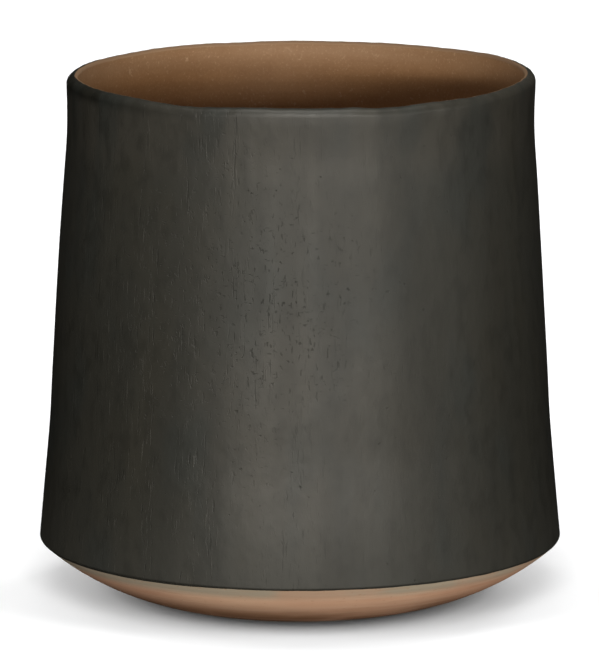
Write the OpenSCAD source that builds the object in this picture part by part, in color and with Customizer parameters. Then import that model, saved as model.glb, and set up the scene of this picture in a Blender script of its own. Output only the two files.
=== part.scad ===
// Hand-finished stoneware candle vessel, empty. A brown clay body carries a charcoal slip
// over its outside and a clear seal over its inside. Both coats lie in shallow rebates,
// flush with the bare clay of the lip's inner edge and of the underside.
// Millimetres, +Z up, origin at the centre of the foot.

/* [Overall] */
// Widest diameter, over the slip at the belly
belly_d = 90; // [72:0.5:110]
// Full height, from the foot to the crest of the lip
height = 90.3; // [72:0.1:120]

/* [Underside] */
// Diameter of the foot
foot_d = 51.4; // [42:0.2:58]
// Angle at which the underside rises from the foot
foot_angle = 12.7; // [6:0.1:15]
// Height of the widest line above the foot
belly_h = 10.1; // [9:0.1:13]
// Outside rounding of the belly corner
belly_round = 0.5; // [0.5:0.1:2.5]
// Width of the ring that the foot stands on
foot_ring = 4.5; // [3:0.1:8]
// Depth of the hollow turned inside that ring
foot_hollow = 0.9; // [0.4:0.1:1.5]

/* [Wall] */
// Thickness of the wall below the shoulder, and of the bowl under it
wall_t = 3.2; // [2.4:0.1:4]
// Height of the floor inside, above the foot's plane
floor_h = 5.2; // [4.2:0.1:8]
// Rounding inside, where the wall turns into the bowl
inside_round = 6; // [3:0.5:8]
// Height of the shoulder, where the lean of the wall eases
shoulder_h = 31.3; // [26:0.1:38]
// How far in from the belly the wall stands at the shoulder
shoulder_in = 1.93; // [1.2:0.01:3]
// How barrel-shaped the wall is from shoulder to neck, 0 being straight
barrel = 0.23; // [0:0.01:0.5]

/* [Neck and lip] */
// Height of the upright neck, lip included
neck_h = 10.2; // [7:0.1:14]
// How far in from the belly the neck stands
neck_in = 5; // [3.5:0.1:7]
// Thickness of the neck and lip
lip_t = 1.85; // [1.7:0.05:2.4]
// Outside rounding of the lip; what is left of its thickness rounds inwards
lip_round = 1.4; // [0.8:0.05:1.5]

/* [Coats] */
// Thickness of the charcoal slip
slip_t = 0.3; // [0.15:0.05:0.5]
// Thickness of the clear seal
seal_t = 0.2; // [0.1:0.05:0.4]

/* [Hidden] */
$fn = 144;
arc_steps = 8;
bowl_steps = 12;
wall_steps = 12;

// Profile points are [radius, height]
belly_r = belly_d / 2;
foot_r = foot_d / 2;
shoulder_r = belly_r - shoulder_in;
neck_r = belly_r - neck_in;
neck_z = height - neck_h;
crest_r = neck_r - lip_round;
mouth_r = neck_r - lip_t;
lip_edge = lip_t - lip_round;

// Belly corner, and the lean of the straight wall that runs from it to the shoulder
belly_c = [belly_r - belly_round, belly_h];
to_shoulder = [shoulder_r, shoulder_h] - belly_c;
lean = atan2(to_shoulder.y, to_shoulder.x) - acos(belly_round / norm(to_shoulder));

// Bowl of the underside: the circle that leaves the foot at foot_angle and meets the
// belly corner smoothly
foot_up = [-sin(foot_angle), cos(foot_angle)];
foot_to_belly = belly_c - [foot_r, 0];
bowl_r = (foot_to_belly * foot_to_belly - pow(belly_round, 2)) / (2 * (foot_up * foot_to_belly - belly_round));
bowl_c = [foot_r, 0] + bowl_r * foot_up;
slip_end = angle_of(belly_c - bowl_c);

// Inside corner: the circle of inside_round that touches both the bowl and the wall inside
wall_out = [cos(lean), sin(lean)];
wall_down = [sin(lean), -cos(lean)];
inside_reach = wall_out * (belly_c - bowl_c) + belly_round - wall_t - inside_round;
inside_drop = sqrt(pow(bowl_r - wall_t - inside_round, 2) - pow(inside_reach, 2));
inside_c = bowl_c + inside_reach * wall_out + inside_drop * wall_down;
inside_end = angle_of(inside_c - bowl_c);

function angle_of(v) = atan2(v.y, v.x);
function share(a, b, t) = a + (b - a) * t;
function backwards(list) = [for (i = [len(list) - 1 : -1 : 0]) list[i]];
function arc(centre, r, from, to, steps) =
    [for (i = [0:steps]) let (a = share(from, to, i / steps)) centre + r * [cos(a), sin(a)]];

// The wall from the shoulder (t = 0) to the neck (t = 1)
function wall_z(t) = share(shoulder_h, neck_z, t);
function wall_r(t) = share(shoulder_r, neck_r, (1 - barrel) * t + barrel * t * t);
function wall_inside_r(t) = wall_r(t) - share(wall_t, lip_t, t);

// Outside, from the lower edge of the slip up to the crest, at a depth under the surface
function outside(depth) = concat(
    arc(belly_c, belly_round - depth, slip_end, lean, arc_steps),
    [for (i = [0:wall_steps]) let (t = i / wall_steps) [wall_r(t) - depth, wall_z(t)]],
    arc([crest_r, height - lip_round], lip_round - depth, 0, 90, arc_steps)
);

// Inside, from the lip's bare edge down to the middle of the floor, at a depth under the surface
function inside(depth) = let (
    bowl_in_r = bowl_r - wall_t + depth,
    floor_end = asin((floor_h - depth - bowl_c.y) / bowl_in_r)
) concat(
    [[mouth_r + depth, height - lip_edge]],
    [for (i = [wall_steps:-1:0]) let (t = i / wall_steps) [wall_inside_r(t) + depth, wall_z(t)]],
    arc(inside_c, inside_round + depth, lean, inside_end, arc_steps),
    arc(bowl_c, bowl_in_r, inside_end, floor_end, arc_steps),
    [[0, floor_h - depth]]
);

// Bare clay: the hollowed foot with the underside, and the inner half of the lip
function underside() = concat(
    [[0, foot_hollow], [foot_r - foot_ring - foot_hollow, foot_hollow], [foot_r - foot_ring, 0]],
    arc(bowl_c, bowl_r, foot_angle - 90, slip_end, bowl_steps)
);
function bare_lip() = arc([crest_r, height - lip_edge], lip_edge, 90, 180, arc_steps);

// Fired clay: wall, bowl, floor and foot in one piece
module clay_body() {
    color([0.60, 0.45, 0.35])
        rotate_extrude() polygon(concat(underside(), outside(slip_t), bare_lip(), inside(seal_t)));
}

// Charcoal slip, brushed on from the crest of the lip to just under the belly
module charcoal_slip() {
    color([0.27, 0.26, 0.24])
        rotate_extrude() polygon(concat(outside(0), backwards(outside(slip_t))));
}

// Clear satin seal that keeps the wax out of the clay
module inner_seal() {
    color([0.48, 0.34, 0.24])
        rotate_extrude() polygon(concat(inside(0), backwards(inside(seal_t))));
}

clay_body();
charcoal_slip();
inner_seal();
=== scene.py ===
"""Looks of a hand-thrown candle vessel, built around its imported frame.

Everything is in metres, +Z up, with the origin at the centre of the foot. The vessel is one
thrown clay body with two coats: a charcoal slip outside and a clear seal inside.
"""

import logging
import math
from dataclasses import asdict, dataclass, fields
from enum import Enum
from functools import cache

import bpy
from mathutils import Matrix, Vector


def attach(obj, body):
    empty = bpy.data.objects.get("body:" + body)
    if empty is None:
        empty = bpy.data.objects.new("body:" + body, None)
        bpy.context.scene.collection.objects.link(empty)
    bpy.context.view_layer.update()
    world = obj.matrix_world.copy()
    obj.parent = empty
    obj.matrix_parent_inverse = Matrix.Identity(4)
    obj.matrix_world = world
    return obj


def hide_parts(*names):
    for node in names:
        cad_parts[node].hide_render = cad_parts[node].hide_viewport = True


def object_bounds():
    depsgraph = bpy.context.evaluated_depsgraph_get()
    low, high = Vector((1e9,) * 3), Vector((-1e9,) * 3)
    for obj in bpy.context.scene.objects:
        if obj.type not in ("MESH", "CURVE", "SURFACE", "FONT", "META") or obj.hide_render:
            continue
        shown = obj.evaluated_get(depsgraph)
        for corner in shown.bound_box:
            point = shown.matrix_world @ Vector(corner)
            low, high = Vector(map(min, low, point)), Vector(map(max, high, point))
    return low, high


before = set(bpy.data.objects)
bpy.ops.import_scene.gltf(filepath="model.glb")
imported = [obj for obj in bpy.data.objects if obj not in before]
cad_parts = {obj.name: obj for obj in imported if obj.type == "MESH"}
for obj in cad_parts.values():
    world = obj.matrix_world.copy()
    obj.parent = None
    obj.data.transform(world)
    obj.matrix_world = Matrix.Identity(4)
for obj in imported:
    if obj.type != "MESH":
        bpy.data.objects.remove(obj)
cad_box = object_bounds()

MM = 0.001
ROOT = "root"

Point = tuple[float, float]
Colour = tuple[float, float, float]
Place = tuple[float, float, float]
Socket = bpy.types.NodeSocket
Object = bpy.types.Object

log = logging.getLogger("candle_vessel")


# ---------------------------------------------------------------- outline


def share(a: float, b: float, t: float) -> float:
    """The value a share t of the way from a to b."""
    return a + (b - a) * t


def smooth(t: float) -> float:
    """An S-shaped rise from 0 to 1 as t goes from 0 to 1."""
    t = min(1.0, max(0.0, t))
    return t * t * (3 - 2 * t)


@dataclass(frozen=True)
class VesselOutline:
    """The vessel's outline as points of radius and height, as in the frame but finer.

    belly_r and height come from the frame's box. The other sizes are the design's own. The
    rings are shares of a radius at which flat faces are divided, and worn_edge is where the
    foot's outer edge was rubbed round: how far past foot_r, and how high.
    """

    belly_r: float
    height: float
    foot_r: float = 25.7 * MM
    foot_angle: float = math.radians(12.7)
    foot_ring: float = 4.5 * MM
    foot_hollow: float = 0.9 * MM
    belly_h: float = 10.1 * MM
    belly_round: float = 0.5 * MM
    wall_t: float = 3.2 * MM
    floor_h: float = 5.2 * MM
    inside_round: float = 6 * MM
    shoulder_h: float = 31.3 * MM
    shoulder_in: float = 1.93 * MM
    barrel: float = 0.23
    neck_h: float = 10.2 * MM
    neck_in: float = 5 * MM
    lip_t: float = 1.85 * MM
    lip_round: float = 1.4 * MM
    lip_flare: float = 0.08 * MM
    flare_h: float = 4 * MM
    ease: float = 2.4 * MM
    past_round: float = 0.6 * MM
    bowl_turn: float = math.radians(89)
    worn_edge: tuple[Point, ...] = ((-0.4 * MM, 0.012 * MM), (0.1 * MM, 0.075 * MM))
    floor_rings: tuple[float, ...] = (0.97, 0.85, 0.6, 0.3, 0.1, 0)
    hollow_rings: tuple[float, ...] = (0, 0.1, 0.3, 0.6, 0.85, 0.96, 1)
    foot_rings: tuple[float, ...] = (0, 0.06, 0.5, 0.8)
    arc_steps: int = 10
    bowl_steps: int = 26
    wall_steps: int = 52

    @property
    def belly_c(self) -> Vector:
        """Centre of the belly corner's rounding."""
        return Vector((self.belly_r - self.belly_round, self.belly_h))

    @property
    def shoulder_r(self) -> float:
        """Outside radius at the shoulder."""
        return self.belly_r - self.shoulder_in

    @property
    def neck_r(self) -> float:
        """Outside radius of the neck."""
        return self.belly_r - self.neck_in

    @property
    def neck_z(self) -> float:
        """Height at which the neck begins."""
        return self.height - self.neck_h

    @property
    def crest_r(self) -> float:
        """Radius of the lip's crest, where slip and bare clay meet."""
        return self.neck_r + self.lip_flare - self.lip_round

    @property
    def mouth_r(self) -> float:
        """Radius of the mouth."""
        return self.neck_r - self.lip_t

    @property
    def lip_edge(self) -> float:
        """Rounding of the lip's bare inner edge."""
        return self.crest_r - self.mouth_r

    @property
    def lean(self) -> float:
        """Lean of the straight wall between belly and shoulder."""
        run = Vector((self.shoulder_r, self.shoulder_h)) - self.belly_c
        return math.atan2(run.y, run.x) - math.acos(self.belly_round / run.length)

    @property
    def bowl(self) -> tuple[Vector, float]:
        """The circle that the underside's bowl follows.

        Returns:
            Its centre and its radius.
        """
        up = Vector((-math.sin(self.foot_angle), math.cos(self.foot_angle)))
        run = self.belly_c - Vector((self.foot_r, 0))
        radius = (run.length_squared - self.belly_round**2) / (2 * (up.dot(run) - self.belly_round))
        return Vector((self.foot_r, 0)) + radius * up, radius

    @property
    def slip_end(self) -> float:
        """Angle on the belly corner at which the slip stops."""
        way = self.belly_c - self.bowl[0]
        return math.atan2(way.y, way.x)

    @property
    def slip_foot(self) -> float:
        """Height of the slip's lower edge."""
        return self.belly_h + self.belly_round * math.sin(self.slip_end)

    def arc(self, centre: Vector, radius: float, start: float, end: float, steps: int) -> list[Point]:
        """Points along an arc.

        Args:
            centre: the arc's centre.
            radius: its radius.
            start: the angle it starts at.
            end: the angle it ends at.
            steps: how many steps it takes.

        Returns:
            The points, both ends included.
        """
        angles = [share(start, end, i / steps) for i in range(steps + 1)]
        return [(centre.x + radius * math.cos(a), centre.y + radius * math.sin(a)) for a in angles]

    def sharp_wall(self, z: float) -> float:
        """The wall with a crisp break at shoulder and neck.

        Args:
            z: a height.

        Returns:
            The outside radius there.
        """
        if z < self.shoulder_h:
            return self.shoulder_r + (self.shoulder_h - z) * math.tan(self.lean)
        t = min(1.0, (z - self.shoulder_h) / (self.neck_z - self.shoulder_h))
        return share(self.shoulder_r, self.neck_r, (1 - self.barrel) * t + self.barrel * t * t)

    def wall(self, z: float) -> float:
        """The wall with its breaks eased, as a potter's rib leaves them, and its lip flared.

        Args:
            z: a height.

        Returns:
            The outside radius there.
        """
        offsets = [self.ease * k for k in (-1, -0.5, 0, 0.5, 1)]
        flare = self.lip_flare * smooth((z - self.height + self.lip_round + self.flare_h) / self.flare_h)
        return sum(self.sharp_wall(z + d) for d in offsets) / len(offsets) + flare

    def thickness(self, z: float) -> float:
        """Thickness of the wall at a height."""
        rise = smooth((z - self.shoulder_h) / (self.neck_z - self.shoulder_h))
        return share(self.wall_t, self.lip_t, rise)

    def bore(self, z: float) -> float:
        """Inside radius of the wall at a height. The lip's flare leaves the mouth as wide as it is."""
        radius = self.wall(z) - self.thickness(z)
        return min(self.mouth_r, radius) if z > self.neck_z else radius

    def outside(self, depth: float) -> list[Point]:
        """The outside, from the slip's lower edge up to the crest.

        Args:
            depth: how far under the surface.

        Returns:
            The points.
        """
        start = self.belly_h + self.belly_round * math.sin(self.lean) + self.past_round
        end = self.height - self.lip_round
        heights = [share(start, end, i / self.wall_steps) for i in range(self.wall_steps)]
        lip_c = Vector((self.crest_r, end))
        corner_r = self.belly_round - depth
        return [
            *self.arc(self.belly_c, corner_r, self.slip_end, self.lean, self.arc_steps),
            *[(self.wall(z) - depth, z) for z in heights],
            *self.arc(lip_c, self.lip_round - depth, 0, math.pi / 2, self.arc_steps),
        ]

    def inside(self, depth: float) -> list[Point]:
        """The inside, from the lip's bare edge down to the middle of the floor.

        Args:
            depth: how far under the surface.

        Returns:
            The points.
        """
        bowl_c, bowl_r = self.bowl
        out = Vector((math.cos(self.lean), math.sin(self.lean)))
        down = Vector((math.sin(self.lean), -math.cos(self.lean)))
        reach = out.dot(self.belly_c - bowl_c) + self.belly_round - self.wall_t - self.inside_round
        drop = math.sqrt((bowl_r - self.wall_t - self.inside_round) ** 2 - reach**2)
        corner = bowl_c + reach * out + drop * down
        corner_end = math.atan2((corner - bowl_c).y, (corner - bowl_c).x)
        radius = bowl_r - self.wall_t + depth
        floor_end = math.asin((self.floor_h - depth - bowl_c.y) / radius)
        top = self.height - self.lip_edge
        low = corner.y + self.inside_round * math.sin(self.lean) + self.past_round
        heights = [share(top, low, i / self.wall_steps) for i in range(self.wall_steps + 1)]
        flat_r = bowl_c.x + radius * math.cos(floor_end)
        return [
            *[(self.bore(z) + depth, z) for z in heights],
            *self.arc(corner, self.inside_round + depth, self.lean, corner_end, self.arc_steps),
            *self.arc(bowl_c, radius, corner_end, floor_end, self.arc_steps)[1:],
            *[(flat_r * k, self.floor_h - depth) for k in self.floor_rings],
        ]

    def underside(self) -> list[Point]:
        """The bare clay from the middle of the foot's hollow out to the slip's lower edge.

        Returns:
            The points.
        """
        bowl_c, bowl_r = self.bowl
        ring_r = self.foot_r - self.foot_ring
        hollow_r = ring_r - self.foot_hollow
        bowl_start = self.foot_angle - self.bowl_turn
        return [
            *[(hollow_r * k, self.foot_hollow) for k in self.hollow_rings],
            (share(hollow_r, ring_r, 0.5), self.foot_hollow * 0.5),
            *[(share(ring_r, self.foot_r, k), 0.0) for k in self.foot_rings],
            *[(self.foot_r + past, z) for past, z in self.worn_edge],
            *self.arc(bowl_c, bowl_r, bowl_start, self.slip_end, self.bowl_steps),
        ]

    def bare_lip(self) -> list[Point]:
        """Bare clay of the lip, from its crest down to its inner edge."""
        centre = Vector((self.crest_r, self.height - self.lip_edge))
        return self.arc(centre, self.lip_edge, math.pi / 2, math.pi, self.arc_steps)


# ---------------------------------------------------------------- the wheel


@dataclass(frozen=True)
class Pull:
    """A place where the lip was pulled up, pressed down or pushed aside while the clay was soft."""

    azimuth: float
    rise: float
    reach: float
    side: float = 0.0


@dataclass(frozen=True)
class Unevenness:
    """A drift of the surface, fading in between two heights."""

    name: str
    strength: float
    grain: float
    from_height: float
    full_height: float


@dataclass(frozen=True)
class Wheel:
    """The potter's wheel: turns an outline into a round piece and gives it a hand-made lip."""

    steps: int = 360
    smooth_under: float = math.radians(32)
    same_point: float = 0.002 * MM
    drifts: tuple[Unevenness, ...] = (
        Unevenness("hand_wobble", 0.22 * MM, 26 * MM, 3 * MM, 16 * MM),
        Unevenness("ragged_lip", 0.16 * MM, 1.6 * MM, 88.2 * MM, 90 * MM),
    )
    pulls: tuple[Pull, ...] = (
        Pull(math.radians(2), 0.34 * MM, 30 * MM),
        Pull(math.radians(32), 0.22 * MM, 15 * MM),
        Pull(math.radians(147), -0.2 * MM, 15 * MM),
        Pull(math.radians(174), -0.26 * MM, 12 * MM),
        Pull(math.radians(106), -0.12 * MM, 10 * MM),
        Pull(math.radians(240), -0.42 * MM, 14 * MM),
        Pull(math.radians(293), -0.34 * MM, 8 * MM),
        Pull(math.radians(0), 0.0, 45 * MM, 0.18 * MM),
        Pull(math.radians(180), 0.0, 45 * MM, 0.18 * MM),
        Pull(math.radians(355), 0.0, 9 * MM, 0.14 * MM),
    )

    def turn(self, name: str, outline: list[Point]) -> Object:
        """Turns an outline all the way round.

        Args:
            name: the new piece's name.
            outline: its points of radius and height, each way round or from pole to pole.

        Returns:
            The closed piece, at the origin, with its faces pointing outwards.
        """
        bpy.ops.object.select_all(action="DESELECT")
        bpy.ops.mesh.primitive_plane_add(size=MM)
        piece = bpy.context.object
        piece.name = piece.data.name = name
        bpy.ops.object.mode_set(mode="EDIT")
        bpy.ops.mesh.select_mode(type="VERT")
        bpy.ops.mesh.merge(type="CENTER")
        here = Vector((outline[0][0], 0, outline[0][1]))
        bpy.ops.transform.translate(value=here)
        for r, z in outline[1:]:
            there = Vector((r, 0, z))
            bpy.ops.mesh.extrude_region_move(TRANSFORM_OT_translate={"value": there - here})
            here = there
        bpy.ops.mesh.select_all(action="SELECT")
        bpy.ops.mesh.spin(steps=self.steps, angle=math.tau, center=(0, 0, 0), axis=(0, 0, 1))
        bpy.ops.mesh.select_all(action="SELECT")
        bpy.ops.mesh.remove_doubles(threshold=self.same_point)
        bpy.ops.mesh.normals_make_consistent(inside=False)
        bpy.ops.object.mode_set(mode="OBJECT")
        return piece

    def loosen(self, piece: Object, drift: Unevenness) -> None:
        """Lets the surface drift a little, the same way in every piece at a place.

        Args:
            piece: the piece.
            drift: how far and how finely it drifts.
        """
        group = piece.vertex_groups.new(name=drift.name)
        span = drift.full_height - drift.from_height
        for v in piece.data.vertices:
            share_here = smooth((v.co.z - drift.from_height) / span)
            if share_here > 0:
                group.add([v.index], share_here, "REPLACE")
        clouds = bpy.data.textures.get(drift.name) or bpy.data.textures.new(drift.name, "CLOUDS")
        clouds.cloud_type = "COLOR"
        clouds.noise_scale = drift.grain
        clouds.noise_depth = 1
        shift = piece.modifiers.new(drift.name, "DISPLACE")
        shift.texture = clouds
        shift.texture_coords = "LOCAL"
        shift.direction = "RGB_TO_XYZ"
        shift.strength = drift.strength
        shift.vertex_group = drift.name
        bpy.ops.object.modifier_apply(modifier=shift.name)
        piece.vertex_groups.clear()

    def pull_lip(self, piece: Object, outline: VesselOutline) -> None:
        """Pulls the lip up, down and aside where the potter's fingers did.

        Args:
            piece: a piece that reaches the lip.
            outline: the vessel's outline.
        """
        for pull in self.pulls:
            way = Vector((math.cos(pull.azimuth), math.sin(pull.azimuth), 0))
            target = way * outline.crest_r + Vector((0, 0, outline.height))
            near = min(piece.data.vertices, key=lambda v: (v.co - target).length_squared)
            near_index = near.index
            bpy.ops.object.mode_set(mode="EDIT")
            bpy.ops.mesh.select_all(action="DESELECT")
            bpy.ops.object.mode_set(mode="OBJECT")
            piece.data.vertices[near_index].select = True
            bpy.ops.object.mode_set(mode="EDIT")
            bpy.ops.transform.translate(
                value=(pull.side, 0, pull.rise), use_proportional_edit=True,
                proportional_edit_falloff="SMOOTH", proportional_size=pull.reach,
            )
            bpy.ops.object.mode_set(mode="OBJECT")

    def finish(self, piece: Object, outline: VesselOutline) -> Object:
        """Gives a turned piece its drift, its lip and its smooth shading.

        Args:
            piece: the piece as it came off the wheel.
            outline: the vessel's outline.

        Returns:
            The same piece.
        """
        for drift in self.drifts:
            self.loosen(piece, drift)
        self.pull_lip(piece, outline)
        bpy.ops.object.shade_smooth_by_angle(angle=self.smooth_under)
        return piece


# ---------------------------------------------------------------- wiring


@dataclass(frozen=True)
class Fade:
    """A soft rise along an axis, from 0 at its start to 1 at its end."""

    start: float
    end: float


class Painter:
    """Wires the nodes of one material or node group."""

    def __init__(self, tree: bpy.types.NodeTree) -> None:
        """Starts on an empty tree."""
        self.tree = tree
        tree.nodes.clear()

    def fill(self, node: bpy.types.Node, values: dict) -> None:
        """Gives a node's inputs their values and links.

        Args:
            node: the node.
            values: a value or a socket for each input, by name or number.
        """
        for key, value in values.items():
            if isinstance(value, Socket):
                self.tree.links.new(value, node.inputs[key])
            else:
                node.inputs[key].default_value = value

    def node(self, kind: str, inputs: dict | None = None, **settings: object) -> bpy.types.Node:
        """Adds a node.

        Args:
            kind: the node's type.
            inputs: a value or a socket for each input, by name or number.
            settings: the node's own settings.

        Returns:
            The node.
        """
        made = self.tree.nodes.new(kind)
        for key, value in settings.items():
            setattr(made, key, value)
        self.fill(made, inputs or {})
        return made

    def math(self, operation: str, *values: float | Socket) -> Socket:
        """A Math node's result."""
        return self.node("ShaderNodeMath", dict(enumerate(values)), operation=operation).outputs[0]

    def vector_math(self, operation: str, inputs: dict) -> bpy.types.Node:
        """A Vector Math node."""
        return self.node("ShaderNodeVectorMath", inputs, operation=operation)

    def axes(self, vector: Socket) -> tuple[Socket, Socket, Socket]:
        """A vector's x, y and z."""
        return tuple(self.node("ShaderNodeSeparateXYZ", {0: vector}).outputs)

    def stretch(self, vector: Socket, scale: tuple | Socket) -> Socket:
        """A vector times a scale, axis by axis."""
        return self.vector_math("MULTIPLY", {0: vector, 1: scale}).outputs[0]

    def noise(self, vector: Socket, scale: float, detail: float = 2, rough: float = 0.5) -> Socket:
        """A noise's value, 0 to 1."""
        inputs = {"Vector": vector, "Scale": scale, "Detail": detail, "Roughness": rough}
        return self.node("ShaderNodeTexNoise", inputs).outputs["Fac"]

    def ramp(self, value: Socket, low: float | Socket, high: float | Socket) -> Socket:
        """A soft rise from 0 at low to 1 at high."""
        inputs = {"Value": value, "From Min": low, "From Max": high}
        return self.node("ShaderNodeMapRange", inputs, interpolation_type="SMOOTHSTEP").outputs[0]

    def fade(self, axis: Socket, fade: Fade) -> Socket:
        """A fade along an axis."""
        return self.ramp(axis, fade.start, fade.end)

    def mix(self, factor: Socket, a: Colour | Socket, b: Colour | Socket) -> Socket:
        """Mixes two colours.

        Args:
            factor: how much of the second there is, 0 to 1.
            a: the first colour.
            b: the second colour.

        Returns:
            The mixed colour.
        """
        made = self.node("ShaderNodeMix", {0: factor}, data_type="RGBA")
        colours = {6: a, 7: b}
        self.fill(made, {key: c if isinstance(c, Socket) else (*c, 1) for key, c in colours.items()})
        return made.outputs[2]

    def tint(self, colour: Colour | Socket, tone: Colour, mask: Socket, strength: float) -> Socket:
        """A colour with some of a tone mixed in where the mask is."""
        return self.mix(self.math("MULTIPLY", mask, strength), colour, tone)

    def bump(self, height: Socket, distance: float, strength: float) -> Socket:
        """A normal that follows a height."""
        inputs = {"Height": height, "Distance": distance, "Strength": strength}
        return self.node("ShaderNodeBump", inputs).outputs[0]


# ---------------------------------------------------------------- shared effects


class Effect:
    """Base of the effects that finishes share.

    Each effect is one node group, built once. Its inputs are the effect's fields and the place
    it is read at, and its one output is a mask.
    """

    @classmethod
    @cache
    def tree(cls) -> bpy.types.NodeTree:
        """The effect's node group.

        Returns:
            The group, built when it is first asked for.
        """
        tree = bpy.data.node_groups.new(cls.__name__.lower(), "ShaderNodeTree")
        kinds = {"Vector": Place, **{field.name.title(): field.type for field in fields(cls)}}
        for label, kind in kinds.items():
            socket = "NodeSocketVector" if kind is Place else "NodeSocketFloat"
            tree.interface.new_socket(label, in_out="INPUT", socket_type=socket)
        tree.interface.new_socket("Mask", in_out="OUTPUT", socket_type="NodeSocketFloat")
        p = Painter(tree)
        source = p.node("NodeGroupInput")
        mask = cls.wire(p, {label: source.outputs[label] for label in kinds})
        p.node("NodeGroupOutput", {"Mask": mask})
        return tree

    @staticmethod
    def wire(p: Painter, get: dict[str, Socket]) -> Socket:
        """Wires the group from its inputs to its mask. Each effect has its own."""
        raise NotImplementedError

    def mask(self, p: Painter, place: Socket, **changed: Socket) -> Socket:
        """Places the effect in a material.

        Args:
            p: the material's painter.
            place: where the effect is read.
            changed: sockets that stand in for fields, by the fields' names.

        Returns:
            The effect's mask.
        """
        values = {name.title(): value for name, value in {**asdict(self), **changed}.items()}
        return p.node("ShaderNodeGroup", {"Vector": place, **values}, node_tree=self.tree()).outputs[0]


@dataclass(frozen=True)
class Streaks(Effect):
    """Long thin marks where a drawn-out noise passes a limit; across and along are its fineness."""

    across: float
    along: float
    limit: float
    softness: float

    @staticmethod
    def wire(p: Painter, get: dict[str, Socket]) -> Socket:
        """Wires the streaks.

        Args:
            p: the group's painter.
            get: the group's inputs by name.

        Returns:
            The mask.
        """
        scale = p.node("ShaderNodeCombineXYZ", {0: get["Across"], 1: get["Across"], 2: get["Along"]})
        value = p.noise(p.stretch(get["Vector"], scale.outputs[0]), 1.0, 2, 0.55)
        return p.ramp(value, get["Limit"], p.math("ADD", get["Limit"], get["Softness"]))


@dataclass(frozen=True)
class Speckle(Effect):
    """Ragged grains: how many to a metre, the share of them that shows, their size and raggedness."""

    fineness: float
    cover: float
    radius: float
    unevenness: float

    @staticmethod
    def wire(p: Painter, get: dict[str, Socket]) -> Socket:
        """Wires the speckle: cells of a warped pattern, some of them chosen by chance.

        Args:
            p: the group's painter.
            get: the group's inputs by name.

        Returns:
            The mask.
        """
        fine = p.math("MULTIPLY", get["Fineness"], 1.7)
        warp = p.node("ShaderNodeTexNoise", {"Vector": get["Vector"], "Scale": fine, "Detail": 2.0})
        warp = warp.outputs["Color"]
        warp = p.vector_math("SUBTRACT", {0: warp, 1: (0.5, 0.5, 0.5)}).outputs[0]
        reach = p.math("DIVIDE", get["Unevenness"], get["Fineness"])
        warp = p.vector_math("SCALE", {0: warp, "Scale": reach}).outputs[0]
        place = p.vector_math("ADD", {0: get["Vector"], 1: warp}).outputs[0]
        cells = p.node("ShaderNodeTexVoronoi", {"Vector": place, "Scale": get["Fineness"]})
        chance = p.node("ShaderNodeSeparateColor", {0: cells.outputs["Color"]})
        chosen = p.math("LESS_THAN", chance.outputs[0], get["Cover"])
        size = p.math("MULTIPLY", get["Radius"], p.math("MULTIPLY_ADD", chance.outputs[1], 0.9, 0.4))
        edge = p.ramp(cells.outputs["Distance"], p.math("MULTIPLY", size, 0.35), size)
        return p.math("MULTIPLY", p.math("SUBTRACT", 1.0, edge), chosen)


@dataclass(frozen=True)
class Band(Effect):
    """A level band between two heights, its edges wandering by waver."""

    low: float
    high: float
    softness: float
    waver: float

    @staticmethod
    def wire(p: Painter, get: dict[str, Socket]) -> Socket:
        """Wires the band.

        Args:
            p: the group's painter.
            get: the group's inputs by name.

        Returns:
            The mask.
        """
        sway = p.math("SUBTRACT", p.noise(get["Vector"], 260.0, 3, 0.6), 0.5)
        z = p.math("ADD", p.axes(get["Vector"])[2], p.math("MULTIPLY", sway, get["Waver"]))
        rise = p.ramp(z, p.math("SUBTRACT", get["Low"], get["Softness"]), get["Low"])
        fall = p.ramp(z, get["High"], p.math("ADD", get["High"], get["Softness"]))
        return p.math("MULTIPLY", rise, p.math("SUBTRACT", 1.0, fall))


@dataclass(frozen=True)
class Patch(Effect):
    """A soft patch, 1 at its centre and 0 past its reach, its outline broken up."""

    centre: Place
    reach: float

    @staticmethod
    def wire(p: Painter, get: dict[str, Socket]) -> Socket:
        """Wires the patch.

        Args:
            p: the group's painter.
            get: the group's inputs by name.

        Returns:
            The mask.
        """
        gap = p.vector_math("DISTANCE", {0: get["Vector"], 1: get["Centre"]}).outputs["Value"]
        ragged = p.math("MULTIPLY_ADD", p.noise(get["Vector"], 90.0, 2), 0.8, -0.4)
        gap = p.math("ADD", p.math("DIVIDE", gap, get["Reach"]), ragged)
        return p.math("SUBTRACT", 1.0, p.ramp(gap, 0.2, 1.0))


# ---------------------------------------------------------------- finishes


class Finish:
    """Base of the finishes: a material with a Principled shader, painted by its subclass."""

    name: str = ""
    roughness: float = 0.5
    specular: float = 0.5

    def make(self) -> bpy.types.Material:
        """Builds the material.

        Returns:
            The finished material.
        """
        material = bpy.data.materials.new(self.name)
        material.use_nodes = True
        p = Painter(material.node_tree)
        place = p.node("ShaderNodeTexCoord").outputs["Object"]
        plain = {"Roughness": self.roughness, "Specular IOR Level": self.specular}
        shader = p.node("ShaderNodeBsdfPrincipled", {**plain, **self.paint(p, place)})
        p.node("ShaderNodeOutputMaterial", {0: shader.outputs[0]})
        return material

    def paint(self, p: Painter, place: Socket) -> dict[str, Socket]:
        """The shader's painted inputs by name. Each finish has its own."""
        raise NotImplementedError


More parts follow.
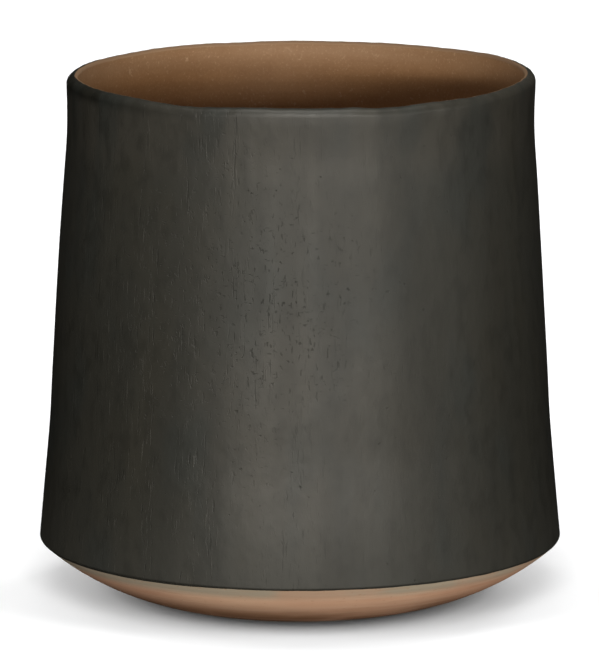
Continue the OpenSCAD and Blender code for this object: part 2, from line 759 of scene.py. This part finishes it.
@dataclass(frozen=True)
class BareClay(Finish):
    """Brown fired clay, bare: fine grain, level turning lines, and a wash of slip along the hem, with
    painted shade down by the foot and round the sides, painted light on the front of the underside, and
    a darker grey just below the hem.
    """

    slip_foot: float
    name: str = "bare_brown_clay"
    colour: Colour = (0.585, 0.375, 0.255)
    # The underside's tone round its sides, painted shade beside the painted light on its front, and the
    # tone of its random clouds.
    side_shade_and_mottle: Colour = (0.48, 0.27, 0.175)
    # Painted shade down by the foot, where the table's contact shadow falls.
    foot_shade: Colour = (0.18, 0.085, 0.042)
    # The greyer, darker tone just below the slip's hem.
    under_hem_grey: Colour = (0.325, 0.275, 0.21)
    lip: Colour = (0.30, 0.19, 0.115)
    pale: Colour = (0.74, 0.56, 0.43)
    dark: Colour = (0.34, 0.18, 0.095)
    slip: Colour = (0.022, 0.021, 0.017)
    roughness: float = 0.8
    specular: float = 0.2
    relief: float = 0.05 * MM
    turning_lines: Streaks = Streaks(45.0, 1300.0, 0.46, 0.25)
    drags: Streaks = Streaks(160.0, 2600.0, 0.58, 0.1)
    grain: Speckle = Speckle(1500.0, 0.14, 0.45, 0.7)
    # Painted light on the front of the underside.
    front_light_patch: Patch = Patch((-1 * MM, -41 * MM, 8 * MM), 36 * MM)
    above_foot: Fade = Fade(2.0 * MM, 7.2 * MM)
    near_hem: Fade = Fade(6.7 * MM, 8.7 * MM)
    up_wall: Fade = Fade(60 * MM, 70 * MM)
    to_left: Fade = Fade(-8 * MM, -24 * MM)
    creep: float = 0.05 * MM
    left_creep: float = 0.25 * MM
    wash_edge: float = 0.06 * MM
    wash_waver: float = 0.3 * MM
    wash_under_slip: float = 0.5 * MM

    def wash(self, p: Painter, place: Socket) -> Socket:
        """Lays the thin wash that crept past the slip's hem, further on the left.

        Args:
            p: the material's painter.
            place: where the pattern is read.

        Returns:
            Its mask.
        """
        spread = p.math("MULTIPLY", p.fade(p.axes(place)[0], self.to_left), self.left_creep)
        low = p.math("SUBTRACT", self.slip_foot - self.creep, spread)
        top = self.slip_foot + self.wash_under_slip
        return Band(0.0, top, self.wash_edge, self.wash_waver).mask(p, place, low=low)

    def paint(self, p: Painter, place: Socket) -> dict[str, Socket]:
        """Paints the clay.

        Args:
            p: the material's painter.
            place: where the pattern is read.

        Returns:
            The shader's painted inputs by name.
        """
        z = p.axes(place)[2]
        lines = self.turning_lines.mask(p, place)
        grain = self.grain.mask(p, place)
        clouds = p.ramp(p.noise(place, 75.0, 3), 0.42, 0.66)
        # Painted light: paler on the front of the underside, where the front lamps fall, and darker
        # round its sides.
        colour = p.mix(self.front_light_patch.mask(p, place), self.side_shade_and_mottle, self.colour)
        # Painted shade: darker down towards the foot, where the table's contact shadow falls.
        colour = p.mix(p.fade(z, self.above_foot), self.foot_shade, colour)
        # Darker and greyer just below the slip's hem.
        colour = p.mix(p.fade(z, self.near_hem), colour, self.under_hem_grey)
        colour = p.tint(colour, self.side_shade_and_mottle, clouds, 0.5)
        colour = p.tint(colour, self.pale, lines, 0.1)
        colour = p.tint(colour, self.dark, self.drags.mask(p, place), 0.2)
        colour = p.tint(colour, self.dark, grain, 0.3)
        colour = p.mix(p.fade(z, self.up_wall), colour, self.lip)
        colour = p.mix(self.wash(p, place), colour, self.slip)
        height = p.math("SUBTRACT", p.math("MULTIPLY", lines, 0.4), p.math("MULTIPLY", grain, 0.8))
        return {"Base Color": colour, "Normal": p.bump(height, self.relief, 0.6)}


@dataclass(frozen=True)
class CharcoalSlip(Finish):
    """Charcoal slip brushed on upright: soft bands, hairlines, pits, warm and cool patches, painted
    highlights on the neck and front, and painted shade on the crest.
    """

    name: str = "charcoal_slip"
    colour: Colour = (0.0190, 0.0186, 0.0155)
    warm: Colour = (0.0220, 0.0200, 0.0150)
    # Painted highlight: the paler tone of the neck and of the lit front.
    highlight_tone: Colour = (0.0270, 0.0255, 0.0215)
    cool: Colour = (0.0160, 0.0178, 0.0165)
    dark: Colour = (0.007, 0.007, 0.0055)
    light: Colour = (0.060, 0.058, 0.050)
    roughness: float = 0.48
    specular: float = 0.33
    relief: float = 0.07 * MM
    bands: Streaks = Streaks(170.0, 9.0, 0.36, 0.3)
    strokes: Streaks = Streaks(260.0, 14.0, 0.41, 0.12)
    hairlines: Streaks = Streaks(2500.0, 150.0, 0.6, 0.12)
    ridges: Streaks = Streaks(2400.0, 180.0, 0.62, 0.12)
    dashes: Streaks = Streaks(1900.0, 560.0, 0.64, 0.06)
    nicks: Streaks = Streaks(900.0, 3600.0, 0.67, 0.05)
    pits: Speckle = Speckle(1500.0, 0.01, 0.36, 1.2)
    worn_patch: Patch = Patch((-13 * MM, -40 * MM, 56 * MM), 34 * MM)
    # Painted highlights: one on the front, a weaker one on the front and right of the neck.
    front_highlight_patch: Patch = Patch((0.0, -44 * MM, 36 * MM), 26 * MM)
    neck_highlight_patch: Patch = Patch((19 * MM, -35 * MM, 86 * MM), 24 * MM)
    to_brushed_side: Fade = Fade(20 * MM, -18 * MM)
    # Where the painted shade on the crest reaches: lightly across the middle, fully on the left.
    to_crest_shade_middle: Fade = Fade(12 * MM, 0.0)
    to_crest_shade_left: Fade = Fade(-22 * MM, -36 * MM)
    up_neck: Fade = Fade(76 * MM, 82 * MM)
    up_crest: Fade = Fade(87.2 * MM, 89.2 * MM)
    down_waist: Fade = Fade(64 * MM, 42 * MM)
    up_waist: Fade = Fade(10 * MM, 28 * MM)
    down_hem: Fade = Fade(22 * MM, 9 * MM)

    def brush_lines(self, p: Painter, place: Socket) -> tuple[Socket, Socket]:
        """Draws the brush's hairlines and ridges, within its strokes and mostly on one side.

        Args:
            p: the material's painter.
            place: where the pattern is read.

        Returns:
            The mask of the hairlines and the mask of the ridges.
        """
        brushed = p.math("MULTIPLY_ADD", p.fade(p.axes(place)[0], self.to_brushed_side), 0.85, 0.15)
        brushed = p.math("MULTIPLY", brushed, self.strokes.mask(p, place))
        hair = self.hairlines.mask(p, place)
        ridge = self.ridges.mask(p, p.stretch(place, (-1.0, 1.0, 1.0)))
        return p.math("MULTIPLY", hair, brushed), p.math("MULTIPLY", ridge, brushed)

    def wear(self, p: Painter, place: Socket) -> Socket:
        """Scatters pits, dashes and nicks, thickest in the worn patch.

        Args:
            p: the material's painter.
            place: where the pattern is read.

        Returns:
            Their mask.
        """
        worn = self.worn_patch.mask(p, place)
        pits = self.pits.mask(p, place, cover=p.math("MULTIPLY_ADD", worn, 0.12, self.pits.cover))
        marks = p.math("MAXIMUM", self.dashes.mask(p, place), self.nicks.mask(p, place))
        marks = p.math("MULTIPLY", marks, p.math("MULTIPLY_ADD", worn, 0.85, 0.15))
        return p.math("MAXIMUM", pits, marks)

    def ground(self, p: Painter, place: Socket) -> Socket:
        """Lays the slip's colour, with painted highlights on the neck and the front, and painted shade
        on part of the crest.

        Args:
            p: the material's painter.
            place: where the pattern is read.

        Returns:
            The colour.
        """
        x, _, z = p.axes(place)
        # Painted highlights on the front and on the front and right of the neck.
        painted_sheen = p.math("MULTIPLY", self.neck_highlight_patch.mask(p, place), 0.35)
        painted_sheen = p.math("MAXIMUM", self.front_highlight_patch.mask(p, place), painted_sheen)
        # Painted shade on the crest, light across the middle and full on the left.
        crest_shade = p.math("MULTIPLY", p.fade(x, self.to_crest_shade_middle), 0.35)
        crest_shade = p.math("MAXIMUM", crest_shade, p.fade(x, self.to_crest_shade_left))
        # Painted highlight: the neck is paler all round.
        colour = p.mix(p.fade(z, self.up_neck), self.colour, self.highlight_tone)
        colour = p.tint(colour, self.highlight_tone, painted_sheen, 0.6)
        return p.mix(p.math("MULTIPLY", p.fade(z, self.up_crest), crest_shade), colour, self.dark)

    def coarseness(self, p: Painter, place: Socket, bands: Socket, marks: Socket) -> Socket:
        """Varies the roughness: smoother at neck and waist, rougher at the hem and in the marks.

        Args:
            p: the material's painter.
            place: where the pattern is read.
            bands: the mask of the brush's soft bands.
            marks: the mask of the wear.

        Returns:
            The roughness.
        """
        z = p.axes(place)[2]
        waist = p.math("MULTIPLY", p.fade(z, self.down_waist), p.fade(z, self.up_waist))
        rough = p.math("MULTIPLY_ADD", bands, 0.05, self.roughness)
        rough = p.math("MULTIPLY_ADD", p.fade(z, self.up_neck), -0.06, rough)
        rough = p.math("MULTIPLY_ADD", waist, -0.05, rough)
        rough = p.math("MULTIPLY_ADD", p.fade(z, self.down_hem), 0.09, rough)
        return p.math("MULTIPLY_ADD", marks, 0.25, rough)

    def paint(self, p: Painter, place: Socket) -> dict[str, Socket]:
        """Paints the slip.

        Args:
            p: the material's painter.
            place: where the pattern is read.

        Returns:
            The shader's painted inputs by name.
        """
        bands = self.bands.mask(p, place)
        hair, ridge = self.brush_lines(p, place)
        marks = self.wear(p, place)
        patches = p.noise(p.stretch(place, (1.0, 1.0, 0.45)), 100.0, 2)
        mottle = p.noise(p.stretch(place, (1.0, 1.0, 0.6)), 420.0, 3)
        colour = self.ground(p, place)
        colour = p.tint(colour, self.warm, p.ramp(patches, 0.5, 0.7), 0.35)
        colour = p.tint(colour, self.cool, p.ramp(patches, 0.5, 0.3), 0.6)
        colour = p.tint(colour, self.dark, p.ramp(mottle, 0.45, 0.7), 0.3)
        colour = p.tint(colour, self.dark, bands, 0.25)
        colour = p.tint(colour, self.dark, hair, 0.55)
        colour = p.tint(colour, self.light, ridge, 0.15)
        colour = p.tint(colour, self.dark, marks, 0.25)
        height = p.math("SUBTRACT", p.math("MULTIPLY", ridge, 0.6), p.math("MULTIPLY", hair, 0.65))
        height = p.math("SUBTRACT", height, p.math("MULTIPLY", marks, 0.75))
        height = p.math("ADD", height, p.math("MULTIPLY", mottle, 1.5))
        return {
            "Base Color": colour,
            "Roughness": self.coarseness(p, place, bands, marks),
            "Normal": p.bump(height, self.relief, 0.7),
        }


@dataclass(frozen=True)
class SatinSeal(Finish):
    """Clear satin seal over brown clay: deeper brown, grainy, with level lines and pale flecks."""

    name: str = "satin_inner_seal"
    colour: Colour = (0.315, 0.170, 0.078)
    rim: Colour = (0.250, 0.147, 0.079)
    pale: Colour = (0.56, 0.40, 0.26)
    dark: Colour = (0.20, 0.098, 0.040)
    roughness: float = 0.55
    specular: float = 0.22
    relief: float = 0.04 * MM
    level_lines: Streaks = Streaks(40.0, 1100.0, 0.45, 0.3)
    scuffs: Streaks = Streaks(900.0, 700.0, 0.68, 0.04)
    flecks: Speckle = Speckle(1000.0, 0.05, 0.3, 1.4)
    up_rim: Fade = Fade(84 * MM, 89 * MM)

    def paint(self, p: Painter, place: Socket) -> dict[str, Socket]:
        """Paints the seal.

        Args:
            p: the material's painter.
            place: where the pattern is read.

        Returns:
            The shader's painted inputs by name.
        """
        lines = self.level_lines.mask(p, place)
        specks = p.math("MAXIMUM", self.flecks.mask(p, place), self.scuffs.mask(p, place))
        grain = p.noise(place, 2400.0, 2, 0.6)
        clouds = p.ramp(p.noise(place, 60.0, 3), 0.4, 0.7)
        mottle = p.ramp(p.noise(place, 330.0, 3), 0.42, 0.68)
        colour = p.mix(p.fade(p.axes(place)[2], self.up_rim), self.colour, self.rim)
        colour = p.tint(colour, self.dark, clouds, 0.3)
        colour = p.tint(colour, self.dark, mottle, 0.16)
        colour = p.tint(colour, self.dark, lines, 0.14)
        colour = p.tint(colour, self.dark, p.ramp(grain, 0.5, 0.3), 0.18)
        colour = p.tint(colour, self.pale, p.ramp(grain, 0.55, 0.75), 0.2)
        colour = p.tint(colour, self.pale, specks, 0.23)
        height = p.math("ADD", p.math("MULTIPLY", lines, 0.5), p.math("MULTIPLY", grain, 0.5))
        return {"Base Color": colour, "Normal": p.bump(height, self.relief, 0.5)}


# ---------------------------------------------------------------- the vessel


class Coat(Enum):
    """The vessel's three pieces: the new piece's name, its node in the frame, its material slot."""

    CLAY = ("thrown_clay_body", "clay_body", "brown_clay")
    SLIP = ("brushed_charcoal_slip", "charcoal_slip", "charcoal_slip")
    SEAL = ("satin_inner_seal", "inner_seal", "sealed_clay")


@dataclass
class CandleVessel:
    """The vessel: clay body, slip and seal, turned on one wheel from one outline."""

    outline: VesselOutline
    wheel: Wheel
    slip_t: float = 0.3 * MM
    seal_t: float = 0.2 * MM

    def turned(self, coat: Coat) -> Object:
        """Turns the bare shape of one piece.

        Args:
            coat: which piece.

        Returns:
            The piece.
        """
        o = self.outline
        if coat is Coat.CLAY:
            points = [*o.underside(), *o.outside(self.slip_t), *o.bare_lip(), *o.inside(self.seal_t)]
        elif coat is Coat.SLIP:
            around = [*o.outside(0), *reversed(o.outside(self.slip_t))]
            points = [*around, around[0]]
        else:
            points = [*reversed(o.inside(0)), *o.inside(self.seal_t)]
        return self.wheel.turn(coat.value[0], points)

    def finish_for(self, coat: Coat) -> Finish:
        """The finish of one piece."""
        clay = BareClay(slip_foot=self.outline.slip_foot)
        return {Coat.CLAY: clay, Coat.SLIP: CharcoalSlip(), Coat.SEAL: SatinSeal()}[coat]

    def build(self) -> list[Object]:
        """Builds, dresses and mounts every piece.

        Returns:
            The pieces.
        """
        pieces = []
        for coat in Coat:
            _, node, slot = coat.value
            piece = self.wheel.finish(self.turned(coat), self.outline)
            piece.data.materials.append(self.finish_for(coat).make())
            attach(piece, ROOT)
            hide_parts(node)
            # Light thrown back by the brown clay would turn the table's soft shadow brown
            piece.visible_diffuse = coat is not Coat.CLAY
            log.info("%s: %d faces, stands for %s", piece.name, len(piece.data.polygons), node)
            pieces.append(piece)
        return pieces


# ---------------------------------------------------------------- the studio


SOFT: Colour = (1.0, 0.975, 0.9)
COOL: Colour = (0.995, 0.997, 1.0)
WARM: Colour = (1.0, 0.935, 0.84)
TABLE_BOX = 0.7


class Lit(Enum):
    """What a lamp lights."""

    WARE = "ware"
    SLIP = "slip"
    INSIDE = "inside"
    CLAY = "clay"
    TABLE = "table"


@dataclass(frozen=True)
class Lamp:
    """A softbox that faces the vessel, its azimuth in degrees to the right of the front.

    One that doesn't shine gives light but is not mirrored in the slip's sheen.
    """

    name: str
    lit: Lit
    azimuth: float
    elevation: float
    wide: float
    tall: float
    watts: float
    colour: Colour = SOFT
    distance: float = 1.6
    aim_height: float = 0.09
    shines: bool = True

    def hang(self) -> Object:
        """Hangs the softbox.

        Returns:
            The lamp.
        """
        turn, rise = math.radians(self.azimuth), math.radians(self.elevation)
        aim = Vector((0, 0, self.aim_height))
        level = math.cos(rise)
        way = Vector((math.sin(turn) * level, -math.cos(turn) * level, math.sin(rise)))
        facing = (-way).to_track_quat("-Z", "Y").to_euler()
        bpy.ops.object.light_add(type="AREA", location=aim + way * self.distance, rotation=facing)
        lamp = bpy.context.object
        lamp.name = self.name
        lamp.data.shape = "RECTANGLE"
        lamp.data.size = self.wide
        lamp.data.size_y = self.tall
        lamp.data.energy = self.watts
        lamp.data.color = self.colour
        lamp.visible_camera = False
        lamp.visible_glossy = self.shines
        return lamp


def over_table(place: str, azimuth: float, elevation: float, watts: float) -> Lamp:
    """A square softbox that lights the table alone."""
    name = f"table_{place}_softbox"
    return Lamp(name, Lit.TABLE, azimuth, elevation, TABLE_BOX, TABLE_BOX, watts, COOL)


@dataclass(frozen=True)
class Studio:
    """A pale table, soft lamps and a long lens.

    The ware and the table have lamps of their own, as in a packshot: long low softboxes light
    the ware from the front, and an even sky of light whitens the table.
    """

    lamps: tuple[Lamp, ...] = (
        Lamp("front_left_softbox", Lit.WARE, -30, 3.0, 0.564, 0.084, 2.6),
        Lamp("front_softbox", Lit.WARE, -13, 3.0, 0.564, 0.084, 7.3, WARM),
        Lamp("upper_front_softbox", Lit.WARE, 14, 6.5, 0.564, 0.113, 8.2, WARM),
        Lamp("front_right_softbox", Lit.WARE, 30, 3.0, 0.564, 0.084, 4.6),
        Lamp("right_softbox", Lit.WARE, 60, 3.0, 1.2, 0.084, 3.4),
        Lamp("inner_left_softbox", Lit.INSIDE, -40, 3.4, 0.564, 0.06, 3.2),
        Lamp("inner_front_softbox", Lit.INSIDE, -2, 5.0, 0.4, 0.03, 1.9),
        Lamp("inner_overhead_softbox", Lit.INSIDE, 0, 86, 0.4, 0.4, 4),
        Lamp("low_front_softbox", Lit.CLAY, 16, -1.0, 0.8, 0.06, 12),
        Lamp("high_front_softbox", Lit.SLIP, 0, 30, 0.9, 0.5, 21),
        Lamp("overhead_softbox", Lit.SLIP, 0, 80, 1.0, 1.0, 20),
        Lamp("back_softbox", Lit.WARE, 180, 30, 0.8, 0.8, 18, shines=False),
        Lamp("low_back_softbox", Lit.SLIP, 180, 8, 0.9, 0.3, 20, shines=False),
        over_table("front_low", 0, 20, 7.9),
        over_table("front", 0, 34, 12.7),
        over_table("front_left", -60, 24, 14.5),
        over_table("front_right", 60, 24, 14.4),
        over_table("left", -105, 30, 5.9),
        over_table("right", 105, 30, 5.6),
        over_table("back_left", -140, 35, 4.5),
        over_table("back_right", 140, 35, 8.5),
        over_table("back", 180, 40, 3.0),
    )
    camera_back: float = 1.2055
    camera_up: float = 0.2726
    camera_tilt: float = math.radians(10.68)
    lens: float = 386.0
    near_clip: float = 0.05
    table_size: float = 9.0
    table_colour: Colour = (0.9, 0.9, 0.9)
    table_bounce: Colour = (0.09, 0.086, 0.08)
    ambient: float = 0.177

    def camera(self) -> None:
        """Sets the camera up."""
        tilt = (math.pi / 2 - self.camera_tilt, 0, 0)
        bpy.ops.object.camera_add(location=(0, -self.camera_back, self.camera_up), rotation=tilt)
        camera = bpy.context.object
        camera.data.lens = self.lens
        camera.data.clip_start = self.near_clip
        bpy.context.scene.camera = camera

    def table(self) -> Object:
        """Lays the pale table, which throws less light back than it shows.

        Returns:
            The table.
        """
        bpy.ops.mesh.primitive_plane_add(size=self.table_size)
        table = bpy.context.object
        table.name = "table"
        material = bpy.data.materials.new("pale_table")
        material.use_nodes = True
        p = Painter(material.node_tree)
        colours = self.table_colour, self.table_bounce, (0, 0, 0)
        seen, bounced, unseen = (
            p.node("ShaderNodeBsdfDiffuse", {"Color": (*colour, 1)}).outputs[0] for colour in colours
        )
        path = p.node("ShaderNodeLightPath").outputs
        to_ware = p.node("ShaderNodeMixShader", {0: path["Is Glossy Ray"], 1: bounced, 2: unseen})
        to_all = {0: path["Is Camera Ray"], 1: to_ware.outputs[0], 2: seen}
        both = p.node("ShaderNodeMixShader", to_all)
        p.node("ShaderNodeOutputMaterial", {0: both.outputs[0]})
        table.data.materials.append(material)
        return table

    def only_for(self, lamp: Object, things: list[Object]) -> None:
        """Makes a lamp light only some things.

        Args:
            lamp: the lamp.
            things: what it lights.
        """
        lit = bpy.data.collections.new(lamp.name + "_lights")
        for thing in things:
            lit.objects.link(thing)
        lamp.light_linking.receiver_collection = lit

    def light(self, ware: dict[str, Object], table: Object) -> None:
        """Hangs the lamps.

        Args:
            ware: the vessel's pieces by name.
            table: the table.
        """
        things = {
            Lit.WARE: list(ware.values()),
            Lit.SLIP: [ware[Coat.SLIP.value[0]]],
            Lit.INSIDE: [ware[Coat.SEAL.value[0]]],
            Lit.CLAY: [ware[Coat.CLAY.value[0]]],
            Lit.TABLE: [table],
        }
        for lamp in self.lamps:
            self.only_for(lamp.hang(), things[lamp.lit])

    def world(self) -> None:
        """Fills the room with dim even light."""
        world = bpy.data.worlds.new("room")
        bpy.context.scene.world = world
        world.use_nodes = True
        background = world.node_tree.nodes["Background"]
        background.inputs["Color"].default_value = (1, 1, 1, 1)
        background.inputs["Strength"].default_value = self.ambient
        world.cycles_visibility.glossy = False
        bpy.context.scene.view_settings.view_transform = "Standard"


def main() -> None:
    """Builds the studio and the vessel."""
    logging.basicConfig(level=logging.INFO, format="%(name)s: %(message)s")
    low, high = cad_box
    outline = VesselOutline(belly_r=(high.x - low.x) / 2, height=high.z - low.z)
    studio = Studio()
    studio.camera()
    studio.world()
    pieces = CandleVessel(outline, Wheel()).build()
    studio.light({piece.name: piece for piece in pieces}, studio.table())


if __name__ == "__main__":
    main()
